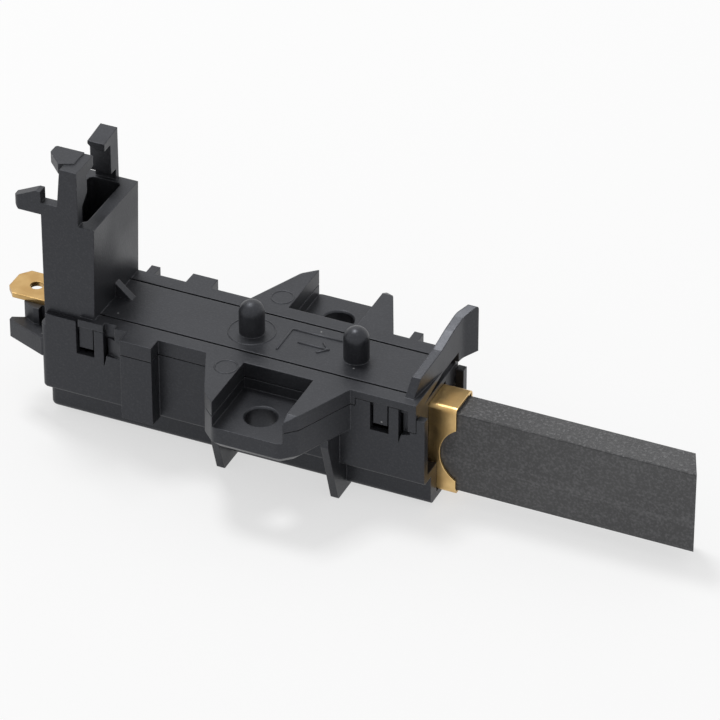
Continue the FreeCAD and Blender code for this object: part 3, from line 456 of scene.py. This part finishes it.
def grain_group():
    """Fine random grain: a height for a bump, and a slow drift for colour and roughness."""
    found = bpy.data.node_groups.get("Fine Grain")
    if found:
        return found
    tree, start, end = new_group(
        "Fine Grain", [("Length", "NodeSocketFloat", 0.0003), ("Stretch", "NodeSocketVector", (1, 1, 1))],
        [("Height", "NodeSocketFloat"), ("Specks", "NodeSocketFloat"), ("Drift", "NodeSocketFloat")])
    place = put(tree, "ShaderNodeTexCoord", (-900, 200))
    shape = put(tree, "ShaderNodeVectorMath", (-700, 200), operation="MULTIPLY")
    tree.links.new(place.outputs["Object"], shape.inputs[0])
    tree.links.new(start.outputs["Stretch"], shape.inputs[1])
    scale = calculate(tree, (-700, -50), "DIVIDE", 1.0, start.outputs["Length"])
    fine = put(tree, "ShaderNodeTexNoise", (-450, 250), Detail=3.0, Roughness=0.6)
    tree.links.new(shape.outputs[0], fine.inputs["Vector"])
    tree.links.new(scale, fine.inputs["Scale"])
    specks = put(tree, "ShaderNodeTexVoronoi", (-450, 0))
    tree.links.new(shape.outputs[0], specks.inputs["Vector"])
    tree.links.new(scale, specks.inputs["Scale"])
    slow = put(tree, "ShaderNodeTexNoise", (-450, -250), Detail=2.0, Roughness=0.5)
    tree.links.new(shape.outputs[0], slow.inputs["Vector"])
    tree.links.new(calculate(tree, (-600, -300), "DIVIDE", scale, DRIFT_LENGTHS), slow.inputs["Scale"])
    tree.links.new(fine.outputs["Fac"], end.inputs["Height"])
    tree.links.new(remap(tree, (-150, 0), specks.outputs["Distance"], *SPECK_SPOT), end.inputs["Specks"])
    tree.links.new(remap(tree, (-150, -250), slow.outputs["Fac"], *SLOW_DRIFT), end.inputs["Drift"])
    return tree


def dust_group():
    """Sparse specks: a mask that is 1 in a small spot inside a few of the cells."""
    found = bpy.data.node_groups.get("Sparse Specks")
    if found:
        return found
    tree, start, end = new_group(
        "Sparse Specks", [("Spacing", "NodeSocketFloat", 0.001), ("Amount", "NodeSocketFloat", 0.05)],
        [("Mask", "NodeSocketFloat")])
    place = put(tree, "ShaderNodeTexCoord", (-900, 200))
    cells = put(tree, "ShaderNodeTexVoronoi", (-450, 100))
    tree.links.new(place.outputs["Object"], cells.inputs["Vector"])
    scale = calculate(tree, (-700, 0), "DIVIDE", 1.0, start.outputs["Spacing"])
    tree.links.new(scale, cells.inputs["Scale"])
    spot = remap(tree, (-200, 100), cells.outputs["Distance"], *DUST_SPOT)
    chance = put(tree, "ShaderNodeSeparateColor", (-250, -100))
    tree.links.new(cells.outputs["Color"], chance.inputs[0])
    picked = calculate(tree, (-50, -100), "LESS_THAN", chance.outputs[0], start.outputs["Amount"])
    tree.links.new(calculate(tree, (200, 0), "MULTIPLY", spot, picked), end.inputs["Mask"])
    return tree


def use_group(tree, group, place, **values):
    """Group node in a material."""
    node = put(tree, "ShaderNodeGroup", place, node_tree=group)
    for name, number in values.items():
        node.inputs[name].default_value = number
    return node


def new_material(name):
    """Material with one Principled shader; returns the material, its tree and the shader."""
    material = bpy.data.materials.new(name)
    material.use_nodes = True
    tree = material.node_tree
    shader = tree.nodes["Principled BSDF"]
    shader.location = (300, 0)
    return material, tree, shader


def bump(tree, place, height, normal, distance):
    """Bump of a height over a normal, or over the plain surface where there is none."""
    node = put(tree, "ShaderNodeBump", place, Distance=distance)
    tree.links.new(height, node.inputs["Height"])
    if normal is not None:
        tree.links.new(normal, node.inputs["Normal"])
    return node.outputs["Normal"]


def vary_roughness(tree, shader, place, pattern, low, high):
    """Roughness between two values, where a pattern goes from 0 to 1."""
    tree.links.new(remap(tree, place, pattern, 0.0, 1.0, low, high), shader.inputs["Roughness"])


def plastic_finish(name, settings):
    """Satin moulded plastic with eroded grain, a painted highlight along its edges and a few pale specks."""
    material, tree, shader = new_material(name)
    edge = use_group(tree, soft_edge_group(), (-900, 300), Radius=settings.edge_round)
    grain = use_group(tree, grain_group(), (-900, 50), Length=settings.grain_length)
    specks = use_group(tree, dust_group(), (-900, -250), Spacing=settings.speck_spacing,
                       Amount=settings.speck_amount)
    # Lighter colour along every edge, broken up by the grain: a painted highlight
    broken = remap(tree, (-650, 300), grain.outputs["Height"], *EDGE_HIGHLIGHT_RANGE)
    edge_highlight = calculate(tree, (-450, 250), "MULTIPLY", edge.outputs["Mask"], broken)
    mottle = remap(tree, (-650, 50), grain.outputs["Height"], *GRAIN_TIPS)
    drift = remap(tree, (-650, -100), grain.outputs["Drift"], *PLASTIC_DRIFT)
    share = calculate(tree, (-250, 100), "ADD", edge_highlight, calculate(tree, (-450, 0), "ADD", mottle, drift))
    colour = mix_colour(tree, (-50, 200), share, rgba(settings.colour), rgba(settings.grain_and_highlight_colour))
    dusted = mix_colour(tree, (120, 200), specks.outputs["Mask"], colour, rgba(settings.dust_colour))
    tree.links.new(dusted, shader.inputs["Base Color"])
    vary_roughness(tree, shader, (50, -100), grain.outputs["Drift"],
                   settings.roughness - settings.polish, settings.roughness + settings.matting)
    tree.links.new(bump(tree, (50, -300), grain.outputs["Height"], edge.outputs["Normal"],
                        settings.grain_height), shader.inputs["Normal"])
    shader.inputs["IOR"].default_value = settings.refraction
    shader.inputs["Specular Tint"].default_value = rgba(settings.gloss_tint)
    return material


def carbon_share(tree, settings, edge, fine, coarse, narrow):
    """How far the dust colour covers the carbon: specks, mottle, streaks, blotches, a lighter band, crumbs
    and a painted highlight along the edges.
    """
    streak = use_group(tree, grain_group(), (-1100, -400), Length=settings.speck_length)
    streak.inputs["Stretch"].default_value = STREAK_STRETCH
    blotch = use_group(tree, grain_group(), (-1100, -650), Length=settings.blotch_length)
    place = put(tree, "ShaderNodeTexCoord", (-1500, -900))
    parts = put(tree, "ShaderNodeSeparateXYZ", (-1300, -900))
    tree.links.new(place.outputs["Object"], parts.inputs[0])
    off = calculate(tree, (-1100, -900), "SUBTRACT", parts.outputs["Z"], settings.band_height)
    off = calculate(tree, (-900, -900), "ABSOLUTE", off)
    band = remap(tree, (-700, -900), off, settings.band_width, settings.band_width * BAND_CORE)
    broken = remap(tree, (-700, -400), streak.outputs["Height"], *BAND_BREAK)
    crumbs = remap(tree, (-700, -150), coarse.outputs["Height"], *CRUMBS)
    layers = (
        calculate(tree, (-700, 200), "MULTIPLY", fine.outputs["Specks"], SPECK_SHARE),
        remap(tree, (-700, 50), fine.outputs["Height"], *FINE_MOTTLE),
        remap(tree, (-700, -550), streak.outputs["Height"], *STREAKS),
        remap(tree, (-700, -700), blotch.outputs["Height"], *BLOTCHES),
        calculate(tree, (-500, -800), "MULTIPLY", band, broken),
        calculate(tree, (-500, -100), "MULTIPLY", narrow, crumbs),
        # Dust colour along every edge: a painted highlight
        calculate(tree, (-700, 300), "MULTIPLY", edge.outputs["Mask"], EDGE_HIGHLIGHT_SHARE),
    )
    share = layers[0]
    for index, layer in enumerate(layers[1:]):
        share = calculate(tree, (-450 + 100 * index, 100), "ADD", share, layer)
    return calculate(tree, (150, 100), "MAXIMUM", share, 0.0)


def carbon_finish(name, settings):
    """Pressed carbon: dull and finely specked, smoother on its broad sides and coarse on its narrow ones."""
    material, tree, shader = new_material(name)
    edge = use_group(tree, soft_edge_group(), (-1100, 300), Radius=settings.edge_round)
    fine = use_group(tree, grain_group(), (-1100, 100), Length=settings.speck_length)
    coarse = use_group(tree, grain_group(), (-1100, -150), Length=settings.speck_length * CRUMB_SCALE)
    facing = put(tree, "ShaderNodeTexCoord", (-1300, 500))
    parts = put(tree, "ShaderNodeSeparateXYZ", (-1100, 500))
    tree.links.new(facing.outputs["Normal"], parts.inputs[0])
    upright = calculate(tree, (-900, 500), "ABSOLUTE", parts.outputs["Z"])
    narrow = remap(tree, (-700, 500), upright, *NARROW_SIDE)
    share = carbon_share(tree, settings, edge, fine, coarse, narrow)
    colour = mix_colour(tree, (120, 250), share, rgba(settings.colour), rgba(settings.dust_colour))
    tree.links.new(colour, shader.inputs["Base Color"])
    vary_roughness(tree, shader, (50, -100), fine.outputs["Drift"],
                   settings.roughness - settings.polish, settings.roughness + settings.matting)
    pressed = bump(tree, (-150, -350), fine.outputs["Height"], edge.outputs["Normal"],
                   settings.press_height)
    crumbled = calculate(tree, (-150, -550), "MULTIPLY", narrow, coarse.outputs["Height"])
    tree.links.new(bump(tree, (50, -350), crumbled, pressed, settings.crumb_height),
                   shader.inputs["Normal"])
    shader.inputs["IOR"].default_value = settings.refraction
    return material


def brass_finish(name, colour, settings, stretch):
    """Rolled brass sheet with fine drawing lines, dull patches and a painted highlight along its edges."""
    material, tree, shader = new_material(name)
    edge = use_group(tree, soft_edge_group(), (-900, 300), Radius=settings.edge_round)
    lines = use_group(tree, grain_group(), (-900, 0), Length=settings.line_length)
    lines.inputs["Stretch"].default_value = stretch
    patches = use_group(tree, grain_group(), (-900, -300), Length=settings.patch_length)
    dull = calculate(tree, (-600, -200), "MULTIPLY", patches.outputs["Drift"], settings.tarnish)
    brown = rgba([item * share for item, share in zip(colour, BROWN)])
    sheet = mix_colour(tree, (-400, 100), dull, rgba(colour), brown)
    # Lighter brass along every edge: a painted highlight
    painted_highlight = calculate(tree, (-350, 300), "MULTIPLY", edge.outputs["Mask"], HIGHLIGHT_SHARE)
    bright = rgba([min(1.0, item * HIGHLIGHT_GAIN) for item in colour])
    tree.links.new(mix_colour(tree, (-100, 150), painted_highlight, sheet, bright), shader.inputs["Base Color"])
    vary_roughness(tree, shader, (-100, -100), patches.outputs["Drift"], settings.roughness,
                   settings.roughness + settings.matting)
    tree.links.new(bump(tree, (-100, -300), lines.outputs["Height"], edge.outputs["Normal"],
                        settings.line_height), shader.inputs["Normal"])
    shader.inputs["Metallic"].default_value = 1.0
    return material


def wire_finish(name, colour, lay, roughness):
    """Drawn or stranded wire: metal with lines laid slantwise along X."""
    material, tree, shader = new_material(name)
    place = put(tree, "ShaderNodeTexCoord", (-900, 0))
    turned = put(tree, "ShaderNodeMapping", (-700, 0))
    turned.inputs["Rotation"].default_value = (0.0, 0.0, WIRE_SLANT)
    tree.links.new(place.outputs["Object"], turned.inputs["Vector"])
    waves = put(tree, "ShaderNodeTexWave", (-450, 0), Scale=1.0 / lay, Distortion=WIRE_WAVER)
    tree.links.new(turned.outputs[0], waves.inputs["Vector"])
    shaded = rgba([item * WIRE_SHADE for item in colour])
    tree.links.new(mix_colour(tree, (-100, 100), waves.outputs["Fac"], shaded, rgba(colour)),
                   shader.inputs["Base Color"])
    tree.links.new(bump(tree, (-100, -200), waves.outputs["Fac"], None, lay * WIRE_DEPTH),
                   shader.inputs["Normal"])
    shader.inputs["Metallic"].default_value = 1.0
    shader.inputs["Roughness"].default_value = roughness
    return material


def dress(node, material):
    """One material on every face of a node of the frame."""
    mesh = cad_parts[node].data
    mesh.materials.clear()
    mesh.materials.append(material)


# Modelling parts


def finished_piece(name, shape, material):
    """Object from a bmesh, riding on the holder, with its finish; round stretches are shaded smooth."""
    bmesh.ops.recalc_face_normals(shape, faces=shape.faces)
    for face in shape.faces:
        face.smooth = True
    mesh = bpy.data.meshes.new(name)
    shape.to_mesh(mesh)
    shape.free()
    mesh.set_sharp_from_angle(angle=SHARP_ANGLE)
    mesh.materials.append(material)
    piece = bpy.data.objects.new(name, mesh)
    bpy.context.scene.collection.objects.link(piece)
    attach(piece, "holder")
    return piece


def bead(shape, start, end, width, height):
    """Low straight bead on the deck between two places, with its upper edges bevelled."""
    along = end - start
    middle = (start + end) / 2
    cube = bmesh.ops.create_cube(shape, size=1.0)
    place = (Matrix.Translation((middle.x, middle.y, DECK_TOP))
             @ Matrix.Rotation(math.atan2(along.y, along.x), 4, "Z")
             @ Matrix.Diagonal((along.length + width, width, 2 * height, 1.0)))
    bmesh.ops.transform(shape, matrix=place, verts=cube["verts"])
    edges = {edge for vert in cube["verts"] for edge in vert.link_edges
             if all(item.co.z > DECK_TOP for item in edge.verts)}
    bmesh.ops.bevel(shape, geom=list(edges), offset=height * BEAD_BEVEL, offset_type="OFFSET",
                    affect="EDGES", segments=2, profile=0.5, material=-1)


def ring(shape, place, radius, width, height):
    """Low round ring on the deck: a half-round section spun about the upright through a place."""
    middle = Vector((*place, DECK_TOP))
    loop = []
    for angle in RING_SECTION:
        turn = math.radians(angle)
        offset = Vector((radius + width / 2 * math.cos(turn), 0, height * math.sin(turn)))
        loop.append(shape.verts.new(middle + offset))
    for side in (-1, 1):
        loop.append(shape.verts.new(middle + Vector((radius + side * width / 2, 0, -height))))
    edges = [shape.edges.new((vert, loop[(index + 1) % len(loop)])) for index, vert in enumerate(loop)]
    bmesh.ops.spin(shape, geom=loop + edges, cent=middle, axis=(0, 0, 1), angle=math.tau,
                   steps=RING_STEPS, use_merge=True)


# Operators


class BRUSH_OT_plastic(bpy.types.Operator):
    """Moulded black finish on the cover and the shell"""

    bl_idname = "brush.plastic"
    bl_label = "Holder Finish"

    def execute(self, context):
        settings = context.scene.brush_plastic
        dress("cover", plastic_finish("Cover moulding", settings))
        dress("shell", plastic_finish("Housing moulding", settings))
        return {"FINISHED"}


class BRUSH_OT_marks(bpy.types.Operator):
    """Corner line and plain arrow on the deck, ring round the rear pin and ejector marks on the gussets"""

    bl_idname = "brush.marks"
    bl_label = "Moulded Marks"

    def lines(self, settings, name, places):
        """Raised lines between pairs of places on the deck."""
        shape = bmesh.new()
        for start, end in places:
            bead(shape, start, end, settings.line_width, settings.line_height)
        finished_piece(name, shape, bpy.data.materials["Cover moulding"])

    def rings(self, settings, name, places, radius):
        """Low rings round places on the deck."""
        shape = bmesh.new()
        for place in places:
            ring(shape, place, radius, settings.ring_width, settings.ring_height)
        finished_piece(name, shape, bpy.data.materials["Cover moulding"])

    def execute(self, context):
        settings = context.scene.brush_marks
        corner = Vector(settings.line_corner)
        near, front = Vector(settings.line_near), Vector(settings.line_front)
        self.lines(settings, "deck_line", ((near, corner), (corner, front)))
        tail, tip = Vector(settings.arrow_tail), Vector(settings.arrow_tip)
        barbs = [tip + Vector((-settings.arrow_head, side * settings.arrow_head)) for side in (-1, 1)]
        self.lines(settings, "deck_arrow", ((tail, tip), (tip, barbs[0]), (tip, barbs[1])))
        self.rings(settings, "pin_ring", (settings.pin_place,), settings.pin_ring)
        self.rings(settings, "ejector_marks", (settings.push_near, settings.push_far), settings.push_ring)
        return {"FINISHED"}


class BRUSH_OT_carbon(bpy.types.Operator):
    """Pressed carbon finish on the sliding block"""

    bl_idname = "brush.carbon"
    bl_label = "Carbon Finish"

    def execute(self, context):
        dress("carbon", carbon_finish("Pressed carbon", context.scene.brush_carbon))
        return {"FINISHED"}


class BRUSH_OT_brass(bpy.types.Operator):
    """Rolled brass on the guide tube and the blade terminal"""

    bl_idname = "brush.brass"
    bl_label = "Brass Finish"

    def execute(self, context):
        settings = context.scene.brush_brass
        dress("guide_tube", brass_finish("Tube brass", settings.tube_colour, settings, TUBE_STRETCH))
        dress("blade_terminal",
              brass_finish("Terminal brass", settings.blade_colour, settings, BLADE_STRETCH))
        return {"FINISHED"}


class BRUSH_OT_leads(bpy.types.Operator):
    """Spring and stranded lead inside the tube"""

    bl_idname = "brush.leads"
    bl_label = "Spring and Shunt"

    def follow(self, node, name, material):
        """Copy of a lead in its own finish, with the lead itself hidden."""
        shape = bmesh.new()
        shape.from_mesh(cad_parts[node].data)
        bmesh.ops.remove_doubles(shape, verts=shape.verts, dist=MERGE_DISTANCE)
        piece = finished_piece(name, shape, material)
        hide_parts(node)
        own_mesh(piece)

    def execute(self, context):
        settings = context.scene.brush_leads
        steel = wire_finish("Spring steel", settings.steel_colour, settings.draw_length,
                            settings.roughness)
        copper = wire_finish("Copper strands", settings.copper_colour, settings.strand_length,
                             settings.roughness)
        self.follow("spring", "wound_spring", steel)
        self.follow("shunt", "stranded_lead", copper)
        return {"FINISHED"}


class BRUSH_OT_studio(bpy.types.Operator):
    """White floor, one high lamp, even sky and the camera"""

    bl_idname = "brush.studio"
    bl_label = "Studio"

    def floor(self, context):
        """Large floor just under the lowest point of the part."""
        settings = context.scene.brush_studio
        shape = bmesh.new()
        bmesh.ops.create_grid(shape, x_segments=1, y_segments=1, size=FLOOR_SIZE)
        bmesh.ops.translate(shape, vec=(0, 0, CAD_BOX[0].z - FLOOR_GAP), verts=shape.verts)
        mesh = bpy.data.meshes.new("floor")
        shape.to_mesh(mesh)
        shape.free()
        floor = bpy.data.objects.new("floor", mesh)
        context.scene.collection.objects.link(floor)
        material, tree, shader = new_material("White floor")
        seen = seen_share(tree)
        dimmed = [item * (1 - settings.floor_glow) for item in settings.floor_colour]
        tree.links.new(mix_colour(tree, (50, 200), seen, rgba(settings.floor_colour), rgba(dimmed)),
                       shader.inputs["Base Color"])
        glow = calculate(tree, (50, -200), "MULTIPLY", seen, settings.floor_glow)
        shader.inputs["Emission Color"].default_value = WHITE
        tree.links.new(glow, shader.inputs["Emission Strength"])
        shader.inputs["Roughness"].default_value = FLOOR_ROUGHNESS
        shader.inputs["Specular IOR Level"].default_value = 0.0
        mesh.materials.append(material)

    def lamp(self, context):
        """Square lamp high over the object, aimed at the origin."""
        settings = context.scene.brush_studio
        light = bpy.data.lights.new("high_lamp", "AREA")
        light.shape = "SQUARE"
        light.size = settings.lamp_size
        light.energy = settings.lamp_power
        lamp = bpy.data.objects.new("high_lamp", light)
        lamp.location = settings.lamp_place
        lamp.rotation_euler = (-Vector(settings.lamp_place)).to_track_quat("-Z", "Y").to_euler()
        context.scene.collection.objects.link(lamp)

    def sky(self, context):
        """Even light from all round; straight to the camera and in metal it is white."""
        settings = context.scene.brush_studio
        world = bpy.data.worlds.new("Even sky")
        world.use_nodes = True
        context.scene.world = world
        tree = world.node_tree
        background = tree.nodes["Background"]
        background.inputs["Color"].default_value = WHITE
        strength = remap(tree, (-150, 0), seen_share(tree), 0, 1, settings.sky, 1.0)
        tree.links.new(strength, background.inputs["Strength"])

    def execute(self, context):
        settings = context.scene.brush_studio
        self.floor(context)
        self.lamp(context)
        self.sky(context)
        view = bpy.data.cameras.new("camera")
        view.sensor_width = SENSOR
        view.lens = settings.lens
        view.clip_start, view.clip_end = CLIP
        camera = bpy.data.objects.new("camera", view)
        camera.location = settings.camera_place
        camera.rotation_euler = settings.camera_turn
        context.scene.collection.objects.link(camera)
        context.scene.camera = camera
        context.scene.view_settings.view_transform = "Standard"
        return {"FINISHED"}


STEPS = (BRUSH_OT_plastic, BRUSH_OT_marks, BRUSH_OT_carbon, BRUSH_OT_brass, BRUSH_OT_leads,
         BRUSH_OT_studio)


class BRUSH_PT_panel(bpy.types.Panel):
    """Buttons of the carbon brush in the sidebar"""

    bl_idname = "BRUSH_PT_panel"
    bl_label = "Carbon Brush"
    bl_space_type = "VIEW_3D"
    bl_region_type = "UI"
    bl_category = "Carbon Brush"

    def draw(self, context):
        for step in STEPS:
            self.layout.operator(step.bl_idname)
        for name in SETTINGS:
            box = self.layout.box()
            group = getattr(context.scene, name)
            for item in type(group).__annotations__:
                box.prop(group, item)


CLASSES = (*SETTINGS.values(), *STEPS, BRUSH_PT_panel)


def register():
    """Adds the classes, and the settings to every scene."""
    for item in CLASSES:
        bpy.utils.register_class(item)
    for name, group in SETTINGS.items():
        setattr(bpy.types.Scene, name, PointerProperty(type=group))


def unregister():
    """Takes the settings and the classes away again."""
    for name in SETTINGS:
        delattr(bpy.types.Scene, name)
    for item in reversed(CLASSES):
        bpy.utils.unregister_class(item)


def main():
    """Makes the dressed part and its studio."""
    register()
    for step in (bpy.ops.brush.plastic, bpy.ops.brush.marks, bpy.ops.brush.carbon, bpy.ops.brush.brass,
                 bpy.ops.brush.leads, bpy.ops.brush.studio):
        step()


if __name__ == "__main__":
    main()
